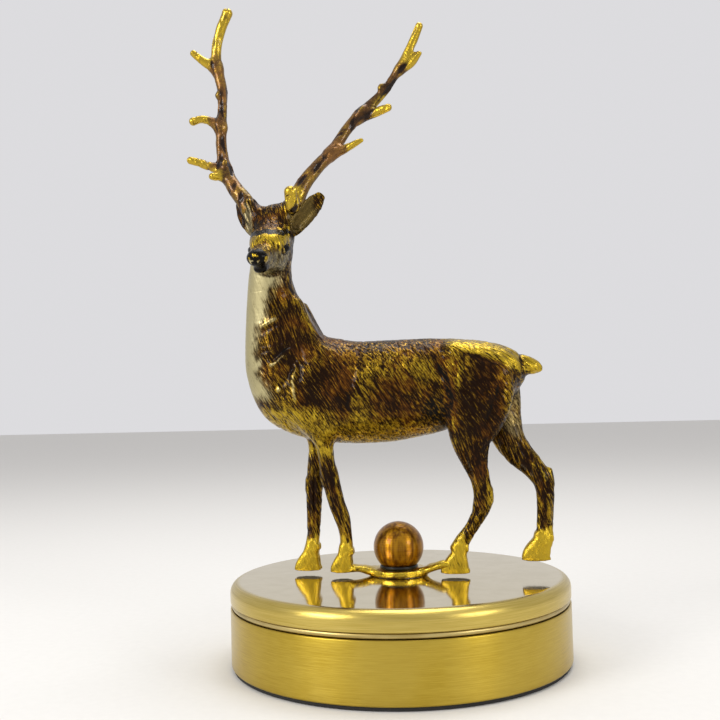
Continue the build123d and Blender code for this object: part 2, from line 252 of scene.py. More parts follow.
LEFT_FORELEG = [
    (-25.8, -6.6, 88, 5.6, 3.4), (-24.2, -6.3, 81, 4.4, 3.2), (-22.9, -5.8, 75, 2.9, 2.7),
    (-22.3, -5.3, 69.5, 2.6, 2.4), (-21.6, -4.9, 65.2, 3, 2.4), (-20.7, -4.6, 61, 2.8, 2.3),
    (-19.4, -4.2, 55.5, 2.7, 2.1), (-17.9, -3.8, 51, 2.6, 2.1), (-17.1, -3.4, 46.8, 2.1, 1.9),
    (-16.8, -3.2, 43, 2.1, 1.9), (-17, -3.1, 40, 2.5, 2.1),
]
RIGHT_FORELEG = [
    (-29, 4.4, 88, 5.2, 3.4), (-28.2, 4, 81, 4, 3.2), (-27.5, 3.6, 75, 2.7, 2.6),
    (-27.8, 3.2, 68, 2.7, 2.4), (-28.1, 2.8, 62, 2.9, 2.3), (-28.4, 2.4, 55, 2.6, 2.1),
    (-28.6, 2, 48, 2.3, 1.9), (-28.9, 1.4, 43, 2.2, 1.9), (-29.4, 1.2, 40, 2.5, 2.1),
]
LEFT_HIND_LEG = [
    (29.6, -6.4, 99, 7, 3.4), (28.6, -7, 92, 9.9, 4.3), (27.2, -7, 85.5, 9.4, 4.4),
    (25.4, -6.8, 80, 8, 4.2), (24.9, -6.4, 75.5, 6.4, 3.8), (25.6, -5.9, 70.5, 4.7, 3.2),
    (26.9, -5.3, 65, 3.3, 2.6), (27.8, -4.9, 61, 3.1, 2.4), (28.2, -4.5, 57.5, 3.2, 2.4),
    (27.7, -4.3, 54.6, 3, 2.3), (26.2, -4, 51, 2.4, 2), (23.9, -3.6, 47.2, 2.1, 1.8),
    (21.2, -3.3, 43.4, 2.4, 1.9), (19.8, -3.1, 40.6, 2.9, 2.1),
]
RIGHT_HIND_LEG = [
    (31, 4.6, 98, 6.5, 3.2), (33, 5, 91, 8, 4), (34.6, 4.9, 83, 6.8, 4),
    (36.6, 4.5, 76.5, 5.4, 3.6), (39.9, 3.8, 71, 4.6, 3.1), (44, 3.1, 66.8, 3.8, 2.7),
    (47.1, 2.5, 62.4, 3.4, 2.5), (48, 2.1, 58, 3, 2.3), (47.9, 1.8, 53, 2.7, 2.1),
    (47.6, 1.5, 48, 2.7, 1.9), (47.3, 1.3, 44.4, 2.9, 2), (46.8, 1.2, 42.4, 3.1, 2.1),
]

# Each hoof: the x and z of its toe, its heel and the top of its front and back edges, then the y
# of its cleft
HOOVES = [
    ((-22.0, 33.6), (-14.6, 33.6), (-19.5, 39.8), (-15.0, 39.0), -3.1),  # left fore
    ((-34.9, 33.5), (-26.2, 33.9), (-31.4, 40.4), (-27.0, 39.8), 1.2),  # right fore
    ((14.1, 33.3), (23.2, 33.3), (17.6, 39.6), (22.4, 39.8), -3.1),  # left hind
    ((40.0, 36.7), (49.0, 37.0), (43.3, 42.8), (49.6, 42.4), 1.2),  # right hind
]

# The muscles that show on both sides, and how softly each runs into the body
MUSCLES = [
    ([(-20.5, -8, 103, 4, 2.6), (-25.5, -8.8, 97, 5.4, 3.4), (-29.5, -8.4, 89, 4.6, 3.2)], 4),
    ([(-30.5, -8, 89, 4.4, 3), (-26.5, -8.4, 84, 4.6, 3.2), (-21.5, -7.6, 80.5, 3.4, 2.8)], 3.5),
    ([(-38.5, -5.8, 97.5, 5.2, 3.2), (-34, -7, 90.5, 5, 3.2)], 4),
    ([(20.5, -6.6, 103.6, 3.2, 2.8), (27, -7, 100.8, 4.6, 3.2), (34, -6, 99, 4, 3)], 3.5),
    ([(-31.5, -6.2, 121, 2.4, 2.2), (-28.5, -7, 112, 3.6, 2.8), (-25.5, -7.4, 105, 3.6, 2.6)], 3.5),
    ([(33.6, -7.4, 95, 3.6, 2.4), (34.2, -7.6, 88, 3.2, 2.4), (30.5, -7.6, 79.5, 2.6, 2)], 3),
]
TENDONS = [
    [(-20.2, -5.4, 59, 0.6, 0.5), (-18.6, -5.2, 54, 0.6, 0.5), (-16.6, -4.6, 47, 0.5, 0.5)],
    [(-26.6, 3.6, 66, 0.5, 0.5), (-27.2, 2.4, 56, 0.5, 0.5), (-27.6, 1.4, 47, 0.5, 0.5)],
    [(29.6, -6.6, 66, 0.6, 0.6), (30, -5.8, 60, 0.6, 0.6)],
    [(27.2, -5.6, 53, 0.5, 0.5), (24.4, -5, 47.5, 0.5, 0.5)],
    [(44.8, 0.6, 67.6, 0.6, 0.6), (48.4, 0.2, 62.6, 0.6, 0.6)],
    [(49, 0.4, 57, 0.5, 0.5), (48.8, 0, 49, 0.5, 0.5)],
]
# The fronts of the knees and the points of the hocks
KNUCKLES = [
    ([(-23, -5, 65.4, 1.2, 1.4), (-22.6, -4.9, 62.6, 1.2, 1.4)], 1.4),
    ([(-29.8, 2.9, 63, 1.2, 1.4), (-29.9, 2.7, 60, 1.2, 1.4)], 1.4),
    ([(30.1, -4.9, 59.6, 1.1, 1.1), (30.2, -4.6, 56.4, 1, 1.1)], 1.2),
    ([(49.6, 2.7, 65, 1.1, 1.1), (50, 2.3, 61, 1, 1.1)], 1.2),
]

HEAD_CENTRE = np.array([-38.4, -6.0, 143.5])
HEAD_PITCH = math.radians(21)
HEAD_FORWARD = np.array([0.0, -math.cos(HEAD_PITCH), -math.sin(HEAD_PITCH)])
HEAD_UP = np.array([0.0, -math.sin(HEAD_PITCH), math.cos(HEAD_PITCH)])
ACROSS = (1, 0, 0)


def at_head(forward, right, up, depth, width):
    """A station given in the head's own directions; right is the right seen from in front."""
    place = HEAD_CENTRE + forward * HEAD_FORWARD + up * HEAD_UP + np.array([right, 0, 0])
    return (*place, depth, width)


def both_sides(stations):
    """The same limb on the stag's left and on its right, mirrored in its middle plane."""
    return stations, [(x, 2 * MIDDLE - y, z, depth, width) for x, y, z, depth, width in stations]


def model_trunk(clay):
    """Torso, neck and tail, with the muscles that show under the hide."""
    clay.add(TORSO, blend=1)
    clay.add(NECK, blend=5)
    clay.add(TAIL, blend=1.2)
    for muscle, blend in MUSCLES:
        for one in both_sides(muscle):
            clay.add(one, blend)


def model_hoof(clay, toe, heel, front, back, y):
    """A cloven hoof: two horn toes with a flat sole, and the pastern that runs down into them."""
    top = ((front[0] + back[0]) / 2, (front[1] + back[1]) / 2)
    depth = (back[0] - front[0]) / 2
    sole_depth = (heel[0] - toe[0]) / 2
    sole = ((toe[0] + heel[0]) / 2, toe[1] + 1.0)
    middle = ((top[0] + sole[0]) / 2, (top[1] + sole[1]) / 2)
    for aside in (-1.15, 1.15):
        horn = [
            (top[0] + 0.1, y + aside * 0.7, top[1] + 2.2, depth * 0.80, 1.4),
            (top[0], y + aside * 0.85, top[1] - 0.2, depth * 0.98, 1.5),
            (middle[0], y + aside, middle[1], (depth + sole_depth) / 2, 1.5),
            (sole[0], y + aside, sole[1], sole_depth, 1.6),
            (sole[0], y + aside, sole[1] - 2.0, sole_depth * 1.05, 1.6),
        ]
        clay.add(horn, blend=0.9)
    # Dew claws behind the pastern
    for aside in (-1.3, 1.3):
        x, z = back[0] + 0.1, back[1] + 1.7
        claw = [(x, y + aside, z, 0.5, 0.6), (x + 0.2, y + aside, z - 1.1, 0.35, 0.45)]
        clay.add(claw, blend=0.9)
    below = toe[1] - 3
    flat = [(toe[0] - 6, y, below, 3, 6), (heel[0] + 6, y, below, 3, 6)]
    clay.cut(flat, blend=0.25, steps=1)


def model_legs(clay):
    """The four legs, with their tendons, and the hooves."""
    for leg in (LEFT_FORELEG, RIGHT_FORELEG):
        clay.add(leg, blend=2.6)
    for leg in (LEFT_HIND_LEG, RIGHT_HIND_LEG):
        clay.add(leg, blend=3.0)
    for tendon in TENDONS:
        clay.add(tendon, blend=1.0)
    for knuckle, blend in KNUCKLES:
        clay.add(knuckle, blend)
    for hoof in HOOVES:
        model_hoof(clay, *hoof)


def model_head(clay):
    """Skull, muzzle, crown and ears."""
    skull = [
        at_head(-5, 0, 1, 5.4, 5.2), at_head(-1, 0, 0.4, 6.8, 6.2), at_head(4, 0, -0.8, 6.6, 6.5),
        at_head(9, 0, -2, 5.6, 6), at_head(13.5, 0, -2.4, 4.2, 4.2), at_head(18, 0, -2, 3.4, 3.3),
        at_head(22, 0, -1.4, 3, 3),
    ]
    clay.add(skull, blend=3.0, side=ACROSS)
    forms = [
        ([at_head(5.5, -1.6, 1.6, 3.6, 4.8), at_head(9.6, 0, 0.9, 3.2, 5.2)], 2.0),  # forehead
        ([at_head(5.5, 1.6, 1.6, 3.6, 4.8), at_head(9.6, 0, 0.9, 3.2, 5.2)], 1.6),
        ([at_head(2, 0, -5.0, 3.8, 5.0), at_head(12, 0, -5.0, 2.7, 3.3)], 2.5),  # jaw
        ([at_head(15, 0, -4.8, 2.2, 2.6), at_head(21.8, 0, -4.7, 1.5, 2.2)], 0.9),  # lower lip
        ([at_head(21.4, 0, -0.7, 2.8, 3.4), at_head(23.8, 0, -0.8, 2.8, 3.5)], 0.7),  # nose
    ]
    for form, blend in forms:
        clay.add(form, blend, side=ACROSS)
    mouth = [at_head(27, -3, -3.9, 0.35, 1.2), at_head(27, 3, -3.9, 0.35, 1.2)]
    clay.cut(mouth, blend=0.5, side=HEAD_FORWARD)
    crown = [(-38.6, -5, 145, 6.4, 5.8), (-38.9, -4.8, 149.5, 7, 4.8), (-39.3, -4.5, 151.4, 8, 4.2)]
    clay.add(crown, blend=2.2)
    # The stumps that the antlers stand on
    clay.add([(-42.5, -4.8, 149.0, 3.0, 3.6), (-46.9, -4.5, 155.6, 2.9, 3.0)], blend=2.4)
    clay.add([(-36.0, -4.8, 149.0, 3.0, 3.6), (-31.7, -4.5, 155.6, 2.9, 3.0)], blend=2.4)
    for way in (-1, 1):
        socket = [at_head(8.0, way * 7.2, -1.6, 1.3, 1.5), at_head(11.0, way * 6.2, -2.0, 1.0, 1.3)]
        clay.cut(socket, blend=1.4, side=ACROSS)
        eye = [at_head(8.4, way * 5.7, -1.4, 1.3, 1.3), at_head(9.8, way * 5.3, -1.7, 1.1, 1.2)]
        clay.add(eye, blend=0.3, side=ACROSS)
        nostril = [
            at_head(26.9, way * 1.2, -0.6, 0.6, 0.4),
            at_head(26.2, way * 2.5, -1.3, 0.5, 0.4),
        ]
        clay.cut(nostril, blend=0.5, side=HEAD_UP)
    # Two rows of hair locks: over the brow, and across the crown
    rows = ((11, 1.15, 4.4, 5.0), (9, 1.35, 2.0, 6.2))
    for row, (locks, gap, forward, base) in enumerate(rows):
        for lock in range(locks):
            aside = gap * (lock - (locks - 1) / 2)
            lift = base - 0.055 * aside**2
            swing = aside * (1.05 + 0.04 * (lock % 3))
            start = at_head(forward - 2.2, aside, lift + 0.9, 0.7, 0.62)
            end = at_head(forward + 1.2 + 0.5 * (lock % 2), swing, lift - 1.2, 0.45, 0.5)
            clay.add([start, end], blend=0.35 + 0.1 * row, side=ACROSS)
    left_ear = [
        (-33.6, -6.4, 144.4, 1.6, 1.5), (-30.6, -6.6, 147.6, 2.7, 1.7),
        (-27.4, -6.6, 151.4, 3.3, 1.6), (-24.4, -6.3, 154.8, 3, 1.3), (-22.2, -6, 157.4, 1.7, 0.9),
    ]
    model_ear(clay, left_ear, (0.35, -0.94, 0.0))
    right_ear = [
        (-43.2, -6.2, 144.4, 1.6, 1.5), (-46.2, -5.4, 147.8, 2.5, 1.7), (-48.8, -4, 151.4, 3, 1.6),
        (-50.6, -2.6, 154.8, 2.7, 1.3), (-51.7, -1.6, 157.2, 1.5, 0.9),
    ]
    model_ear(clay, right_ear, (-0.85, -0.53, 0.0))


def model_ear(clay, stations, facing):
    """A leaf-shaped ear, hollowed on the side that it faces."""
    facing = np.array(facing)
    clay.add(stations, blend=0.8, side=facing)
    hollow = [
        (*(np.array([x, y, z]) + facing * (width + 0.2)), depth * 0.68, width * 0.95)
        for x, y, z, depth, width in stations[1:]
    ]
    clay.cut(hollow, blend=0.6, side=facing)


def model_stag(clay):
    """The whole stag. Forms that miss a block of clay leave it as it is."""
    model_trunk(clay)
    model_legs(clay)
    model_head(clay)


# ---------------------------------------------------------------- chasing, patina and painted shade

# Folds and creases seen from the side: a route of x, z places, its half width, its depth in mm
# (negative for a ridge) and which side of the stag it is on: -1 its left, 1 its right, 0 both
FOLDS = [
    ([(-32.4, 108.2), (-36, 104.9), (-39.6, 101.9)], 0.9, 0.65, 0),
    ([(-33.4, 106.2), (-36.8, 103.2), (-40.2, 100.4)], 0.9, -0.45, 0),
    ([(-30.9, 101.6), (-33.8, 97.2), (-36.6, 93.2)], 0.9, 0.65, 0),
    ([(-32.2, 100), (-35, 95.6), (-37.6, 91.8)], 0.9, -0.45, 0),
    ([(-36, 117.4), (-40, 115.4), (-44, 113.5)], 0.9, -0.40, 0),
    ([(-35.4, 115.4), (-39.6, 113.6), (-43.4, 111.9)], 0.8, 0.35, 0),
    ([(-30.2, 103.6), (-31.6, 96), (-30.4, 87)], 1.1, -0.30, 0),
    ([(-28.8, 103), (-29.9, 96), (-28.6, 88)], 1, 0.25, 0),
    ([(-11.4, 101), (-13.2, 92), (-14.6, 84)], 1.3, 0.42, 0),
    ([(-22, 104.5), (-20.6, 96), (-21.8, 87)], 1.5, 0.28, 0),
    ([(-4.6, 99), (-3.2, 91), (-3.4, 84)], 1.6, 0.16, 0),
    ([(5.6, 99.5), (7, 92), (6.8, 84)], 1.6, 0.16, 0),
    ([(13.6, 104), (17.4, 97), (19.2, 88.7), (17.3, 79.5)], 1.5, 0.60, 0),
    ([(20.9, 104.6), (28.7, 101.4), (34.9, 100.4), (38.8, 98)], 0.9, 0.40, 0),
    ([(35.4, 97.4), (33.4, 90), (30.2, 82.5), (28.6, 77)], 1.6, 0.42, 0),
    ([(23, 98.5), (24.4, 90), (22.6, 82)], 1.6, 0.25, 0),
    ([(-21.6, 73.5), (-20.9, 66), (-19.2, 57), (-16.8, 47.5)], 0.55, 0.38, -1),
    ([(-23.4, 72), (-22.6, 64), (-20.9, 57), (-18.2, 49)], 0.5, 0.30, -1),
    ([(-27.6, 71), (-27.9, 62), (-28, 52), (-28.2, 45)], 0.55, 0.38, 1),
    ([(-29.4, 66), (-29.6, 56), (-29.6, 47)], 0.5, 0.30, 1),
    ([(27.9, 70), (28.6, 63.5), (29, 58.5)], 0.55, 0.40, -1),
    ([(27.4, 56), (24.8, 51), (21.8, 45.5)], 0.5, 0.35, -1),
    ([(25.6, 75), (26.6, 66), (27.2, 60.5)], 0.5, 0.25, -1),
    ([(37, 78.5), (41.8, 71.5), (46.6, 65.5), (47.4, 58), (47.2, 48)], 0.6, 0.40, 1),
    ([(45.2, 62), (46.3, 56), (46.2, 48)], 0.5, 0.25, 1),
]
TAIL_GROOVE = [(41.0, 104.5), (41.9, 100.6), (42.4, 95.8)]


def cloud(points, size, seed):
    """Smooth random values from -1 to 1 at points, in lumps of size mm, even or one per axis."""
    table = np.random.default_rng(seed).uniform(-1, 1, (48, 48, 48))
    spot = points / np.asarray(size, float)
    base = np.floor(spot).astype(int)
    part = spot - base
    return between(table, base, part * part * (3 - 2 * part))


def ramp(value, start, end):
    """0 before start, 1 after end, smooth between them. Start may be above end."""
    t = np.clip((value - start) / (end - start), 0, 1)
    return t * t * (3 - 2 * t)


def patch(points, centre, radii, soft=0.5):
    """1 inside an ellipsoid and 0 outside, smooth over a band near its surface."""
    away = np.sqrt((((points - centre) / radii) ** 2).sum(axis=1))
    return ramp(away, 1 + soft / 2, 1 - soft / 2)


def near_route(points, route):
    """Distance in mm from points to a line through places, and how near each is to its middle."""
    route = np.array(route, float)
    lengths = np.linalg.norm(np.diff(route, axis=0), axis=1)
    before = np.concatenate([[0], np.cumsum(lengths)])
    best = np.full(len(points), 1e9)
    share = np.zeros(len(points))
    for start, end, length, run in zip(route, route[1:], lengths, before):
        way = (end - start) / length
        t = np.clip((points - start) @ way, 0, length)
        away = np.linalg.norm(points - start - t[:, None] * way, axis=1)
        closer = away < best
        best[closer] = away[closer]
        share[closer] = (run + t[closer]) / before[-1]
    return best, 1 - np.abs(2 * share - 1)


def fold(points):
    """How deep the folds and creases are at each point, in mm: positive in a groove."""
    flat = points[:, [0, 2]]
    aside = points[:, 1] - MIDDLE
    deep = np.zeros(len(points))
    for route, width, depth, side in FOLDS:
        away, middle = near_route(flat, route)
        here = ramp(np.abs(aside), 2.5, 6.0) if side == 0 else ramp(side * aside, -0.5, 0.5)
        deep += depth * here * np.exp(-((away / width) ** 2)) * ramp(middle, 0.0, 0.5)
    away, _ = near_route(flat, TAIL_GROOVE)
    return deep + 0.45 * np.exp(-((away / 0.55) ** 2))


# How the hair lies: the angle below the horizontal, towards the tail, in three parts of the body
LIE = {"neck": math.radians(71), "torso": math.radians(56), "rump": math.radians(38)}


def turned(points, angle):
    """Points in axes turned so that the first lies along the hair."""
    x, y, z = points.T
    along = x * math.cos(angle) - z * math.sin(angle)
    across = x * math.sin(angle) + z * math.cos(angle)
    return np.stack([along, y, across], axis=1)


def above_rump(x, z):
    """Height above the line that slopes down along the rump's gilt top."""
    return z - (105.8 - 0.4 * (x - 20.9))


def hair_lie(points):
    """How much each point belongs to the neck and legs, and how much to the rump's top."""
    x, _, z = points.T
    rump = ramp(above_rump(x, z), -3.0, 0.5) * ramp(x, 12, 20)
    neck = np.maximum(ramp(z, 100, 112) * ramp(x, -22, -30), ramp(z, 84, 74))
    return neck, rump * (1 - neck)


def chase(points):
    """Short strokes cut along the hair, from 0 between strokes to 1 at the bottom of a cut."""
    neck, rump = hair_lie(points)
    strokes = np.zeros(len(points))
    parts = ((neck, "neck", 3), (rump, "rump", 5), (1 - neck - rump, "torso", 7))
    for share, part, seed in parts:
        cuts = cloud(turned(points, LIE[part]), (4.6, 1.2, 0.80), seed)
        strokes += share * ramp(cuts, 0.0, 0.55)
    return strokes * ramp(points[:, 2], 41, 46)


def in_head(points):
    """Points in the head's own directions: forward, right seen from in front, and up."""
    away = points - HEAD_CENTRE
    return np.stack([away @ HEAD_FORWARD, away[:, 0], away @ HEAD_UP], axis=1)


def paint_face(points, marks):
    """The patina of the head: a gilt forehead, black nose, lips, eyes and brow line."""
    face = in_head(points)
    forward, right, up = face.T
    gilt, pale, black = marks["gilt"], marks["pale"], marks["black"]
    forehead = patch(face, (9.0, 1.3, 1.7), (6.4, 6.8, 3.7), 1.0)
    gilt += forehead * (0.62 + 0.35 * cloud(points, (0.9, 0.9, 1.6), 49))
    pale *= 1 - ramp(up, -1.6, 0.0) * ramp(forward, -4, 2)
    crown = ramp(points[:, 2], 144.6, 146.4)
    gilt += crown * (0.30 * ramp(right, 1.5, 5.5) - 0.22 + 0.16 * cloud(points, 2.2, 41))
    pale *= 1 - crown
    brow = np.abs(up - (4.7 - 0.04 * right**2) - 0.25 * cloud(points, 1.0, 43))
    brow = ramp(brow, 0.75, 0.3) * ramp(forward, 1.5, 3.0) * ramp(np.abs(right), 7.6, 6.4)
    snout = patch(face, (25.0, 0, -1.6), (2.9, 3.9, 4.1), 0.3)
    lips = patch(face, (22.5, 0, -4.4), (4.6, 3.4, 1.5), 0.45)
    black[:] = np.maximum.reduce([black, 0.8 * brow, 0.95 * snout, 0.9 * lips])
    for way in (-1, 1):
        eye = patch(face, (9.0, way * 6.5, -1.5), (2.0, 1.7, 1.5), 0.3)
        black[:] = np.maximum(black, eye)
    # Flecks on the nose and a rubbed rim on its right
    flecks = patch(face, (26.4, -0.8, -0.6), (1.6, 2.0, 1.9), 0.5)
    flecks *= ramp(cloud(points, 0.7, 45), 0.15, 0.4)
    rim = patch(face, (24.6, 3.0, -1.4), (1.3, 0.75, 1.3), 0.5)
    black *= 1 - 0.75 * np.maximum(flecks, rim)
    gilt += 0.1 * flecks + 0.4 * rim
    ear_inside = patch(points, (-27, -8.2, 151), (6, 1.9, 8), 0.3)
    right_ear = patch(points, (-47.4, -6.4, 150.0), (3.4, 2.4, 7.0), 0.4)
    pale[:] = np.maximum(pale, 0.5 * right_ear)
    ears = ramp(np.abs(points[:, 0] + 39.5), 7.5, 9.0) * ramp(points[:, 2], 142, 146)
    gilt -= 0.30 * ear_inside + 0.25 * ears
    marks["olive"] = 0.9 * ear_inside


# Places on both sides where the gilding is rubbed up or worn back: how much, centre and radii
RUBBED = [
    (0.20, (2, -12, 98), (15, 9, 8)),
    (0.26, (-10, -12, 88), (4, 6, 6)),
    (-0.20, (-22, -12, 94), (8, 9, 8)),
    (-0.24, (-16, -12, 93), (3.5, 9, 9)),
    (-0.26, (4, -12, 91), (9, 8, 4.5)),
    (-0.32, (29, -10, 86), (7, 8, 14)),
    (-0.22, (-33, -10, 110), (6, 9, 9)),
    (0.26, (22, -9, 98), (5, 6, 7)),
    (0.16, (36.5, -8, 92), (4, 6, 9)),
]
BELLY_X, BELLY_Z = (-33, -20, -10, 3, 16), (87, 87, 83.5, 82.2, 80.5)  # its lower edge
THROAT_Z = (80, 85, 90, 99, 107, 113, 123, 130)  # the edge of the pale throat
THROAT_X = (-33, -35.0, -39.0, -43.0, -44.2, -43.0, -39.0, -36.6)


def paint_stag(points, normals, bulge, deep):
    """The patina at each point: how gilt, warm, pale, black and olive it is. Black also holds
    painted shade, blackening the hooves' undersides.
    """
    x, y, z = points.T
    far = np.abs(y - MIDDLE)
    folded = np.stack([x, -far, z], axis=1)  # one side stands for both
    edge = ramp(bulge, 0.10, 0.55)
    hollow = np.maximum(ramp(bulge, -0.05, -0.5), 0.8 * ramp(deep, 0.05, 0.35))

    gilt = 0.36 + 0.10 * cloud(points, 7.0, 21) + 0.06 * cloud(points, 2.5, 23)
    gilt += 0.30 * edge - 0.40 * hollow + 0.35 * ramp(-deep, 0.05, 0.35)
    gilt += 0.60 * ramp(above_rump(x, z), -1.5, 1.0) * ramp(x, 14, 24)
    for amount, centre, radii in RUBBED:
        gilt += amount * patch(folded, centre, radii)
    belly = np.interp(x, BELLY_X, BELLY_Z)
    trunk = ramp(z, 70, 74)
    gilt += 0.30 * ramp(belly - z, -2.5, 2.0) * trunk * ramp(x, 17, 12)
    gilt += 0.16 * ramp(x, -28, -34) * ramp(z, 100, 92) * trunk

    shin = ramp(z, 74, 68)
    gilt -= shin * (0.36 - 0.22 * edge)
    feet = np.where(x < 35, ramp(z, 47.0, 40.0), ramp(z, 50, 43.0))
    feet = ramp(feet + 0.45 * cloud(points, (0.8, 0.8, 4.5), 47), 0.1, 1.0)
    gilt += 1.25 * feet
    gilt += 0.26 * patch(points, (47.5, 1, 65.0), (4, 5, 4.5), 0.9)
    gilt += 0.22 * patch(points, (29.8, -5, 58), (2.4, 4, 4))

    front = np.interp(z, THROAT_Z, THROAT_X)
    wander = 1.6 * cloud(points, 3.0, 25) + 0.8 * cloud(points, 1.2, 27)
    pale = ramp(front - x + wander, -4.0, 4.2) * ramp(z, 86, 94) * ramp(z, 143, 138)
    cheek = ramp(y, -7, -11) * ramp(z, 140.4, 138.6) * ramp(z, 123, 129)
    pale = np.maximum(pale, 0.52 * cheek)
    pale = np.maximum(pale, 0.55 * ramp(-deep, 0.08, 0.3) * ramp(x, -28, -31))
    pale = np.maximum(pale, 0.4 * patch(points, (39.5, 2, 86), (6, 5, 11)))
    pale *= 1 - 0.5 * hollow - 0.22 * ramp(cloud(points, (1.6, 1.6, 6.0), 29), 0.0, 0.8)

    black = 0.6 * patch(folded, (14.5, -11, 84), (6.5, 6, 6.5), 1.3)
    black = np.maximum(black, 0.6 * ramp(deep, 0.2, 0.5) * (1 - shin))
    # Painted shade: surfaces facing down near the lid are blackened, standing in for the shadow
    # under the hooves.
    black = np.maximum(black, ramp(normals[:, 2], -0.5, -0.9) * ramp(z, 44, 40))
    warm = 0.46 + 0.35 * cloud(points, 5.0, 31) - 0.12 * patch(folded, (27, -9, 84), (9, 7, 14))
    warm -= 0.10 * shin
    marks = {"gilt": gilt, "warm": warm, "pale": pale, "black": black}
    paint_face(points, marks)
    return {name: np.clip(values, 0, 2 if name == "gilt" else 1) for name, values in marks.items()}


# ---------------------------------------------------------------- meshes


def make_mesh(name, points, faces, body, replaced):
    """A smooth piece from points in mm and faces, riding on a body of the frame."""
    mesh = bpy.data.meshes.new(name)
    mesh.from_pydata((np.asarray(points) * MM).tolist(), [], faces)
    mesh.shade_smooth()
    piece = bpy.data.objects.new(name, mesh)
    bpy.context.scene.collection.objects.link(piece)
    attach(piece, body)
    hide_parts(*replaced)
    return piece


def clay_piece(name, points, faces, replaced, marks):
    """A piece of the lid made from clay: on its bench the clay stands BENCH mm off the frame."""
    piece = make_mesh(name, points + [0, 0, BENCH], faces.tolist(), "lid", replaced)
    for mark, values in marks.items():
        layer = piece.data.attributes.new(mark, "FLOAT", "POINT")
        layer.data.foreach_set("value", np.ascontiguousarray(values, dtype=np.float32))
    return piece


def cast_stag(name, low, high, cell, bottom, top):
    """One part of the casting, from a block between two corners, cut flat at two heights."""
    clay = Clay(low, high, cell)
    model_stag(clay)
    uncut = clay.field
    clay.keep(bottom, top)
    points, faces, normals = clay.skin()
    clay.field = uncut
    bulge = 0.5 * clay.bulge(points, 0.8) + 0.5 * clay.bulge(points, 1.8)
    deep = fold(points)
    strokes = chase(points)
    marks = paint_stag(points, normals, bulge, deep)
    calm = 1 - 0.8 * np.maximum(marks["pale"], marks["black"] * ramp(points[:, 2], 126, 128))
    depth = 0.15 * calm * strokes + 0.04 * cloud(points, 1.4, 11) * calm + deep
    points = points - normals * depth[:, None]
    neck, rump = hair_lie(points)
    marks.update(strokes=strokes * calm, neck_hair=neck, rump_hair=rump)
    return clay_piece(name, points, faces, ["stag_casting"], marks)


# ---------------------------------------------------------------- antlers
# A station is x, y, z and a radius. Each tine starts inside the beam.

LEFT_ANTLER = {
    "beam": [
        (-31.4, -4.5, 154.6, 3), (-30.6, -4.2, 157.6, 2.9), (-28.4, -3.3, 162.2, 2.6),
        (-24.8, -1.8, 167.2, 2.4), (-20.9, 0.2, 171.8, 2.15), (-17.4, 1.8, 176.7, 1.95),
        (-14.2, 3.2, 181.9, 1.85), (-10.4, 4.2, 186.2, 1.95), (-5.9, 5, 190.4, 1.85),
        (-1.6, 5.4, 194.7, 1.65), (1.6, 5.4, 198.7, 1.55), (4.6, 5.2, 203, 1.5),
        (7.1, 4.9, 207.2, 1.6), (9.3, 4.6, 211.6, 1.45), (11.3, 4, 215.9, 1.3),
    ],
    "tines": [
        [(-31.4, -7.6, 153.6, 2.4), (-31.6, -8.6, 156.4, 2.2), (-31.7, -9.4, 158.6, 2.1)],
        [(-19.6, 0.8, 172.8, 1.9), (-14.1, -0.2, 174.4, 1.4), (-8.8, -1.4, 176.5, 0.85)],
        [(-9.8, 4.4, 186, 1.8), (-4.5, 3.6, 187, 1.6), (0.1, 2.5, 188.2, 1.4)],
        [(4.4, 5.2, 201.6, 1.5), (8, 4.6, 203.8, 1.75), (11, 3.7, 206.4, 1)],
    ],
    "lean": math.radians(-52),
    "gold": [
        (-9.6, -1.2, 176, 4), (-0.2, 2.6, 188, 5), (10.4, 4.2, 206, 5.5), (9.8, 4.4, 213, 8),
        (-31.6, -9.2, 158.2, 4.4),
    ],
    "knots": [(-22.6, -0.9, 170.2, 1.1), (-9.4, 3.2, 188.0, 0.9), (-2.6, 4.4, 195.8, 0.9)],
}
RIGHT_ANTLER = {
    "beam": [
        (-47.1, -4.5, 154.6, 3), (-49, -4.2, 158, 2.9), (-52.1, -3.3, 162, 2.6),
        (-54.9, -2, 166.7, 2.35), (-56.9, -0.6, 172.7, 2), (-57.8, 0.4, 179.4, 1.85),
        (-57.7, 1, 186.4, 1.75), (-57.4, 1.6, 192.6, 1.65), (-57.6, 2.1, 198.2, 1.75),
        (-58.8, 2.4, 203.6, 1.9), (-59.7, 2.6, 208.8, 1.8), (-59.3, 2.4, 214.4, 1.75),
        (-57.4, 2, 220.4, 1.8), (-55.1, 1.4, 224.9, 1.9),
    ],
    "tines": [
        [(-55.8, -1.9, 168.2, 1.8), (-58, -3.8, 166.6, 1.5), (-59.6, -5, 166.4, 1.25)],
        [(-56.4, -1, 169.6, 1.9), (-60.5, -2.6, 170.3, 1.6), (-64.2, -3.7, 171.6, 1.45),
         (-67.4, -4.6, 172.5, 1.3)],
        [(-57.8, 0.8, 184.4, 1.9), (-61, -0.2, 186.6, 1.55), (-64, -1.2, 187.4, 1.35),
         (-66.9, -2.4, 186.5, 1.45)],
        [(-59.5, 2.6, 206, 1.8), (-62.2, 1.8, 207.4, 1.6), (-65, 0.9, 209.4, 1.35),
         (-67.2, 0.1, 211.3, 1.15)],
    ],
    "lean": math.radians(86),
    "gold": [
        (-66.5, -4.4, 172.2, 5.5), (-66.4, -2, 186.8, 4.4), (-66, 0.4, 210.6, 5.5),
        (-57, 1.8, 222, 11), (-59.4, -5, 166.4, 3),
    ],
    "knots": [(-55.6, -3.4, 171.2, 1.0), (-58.8, 0.8, 196.0, 0.9)],
}


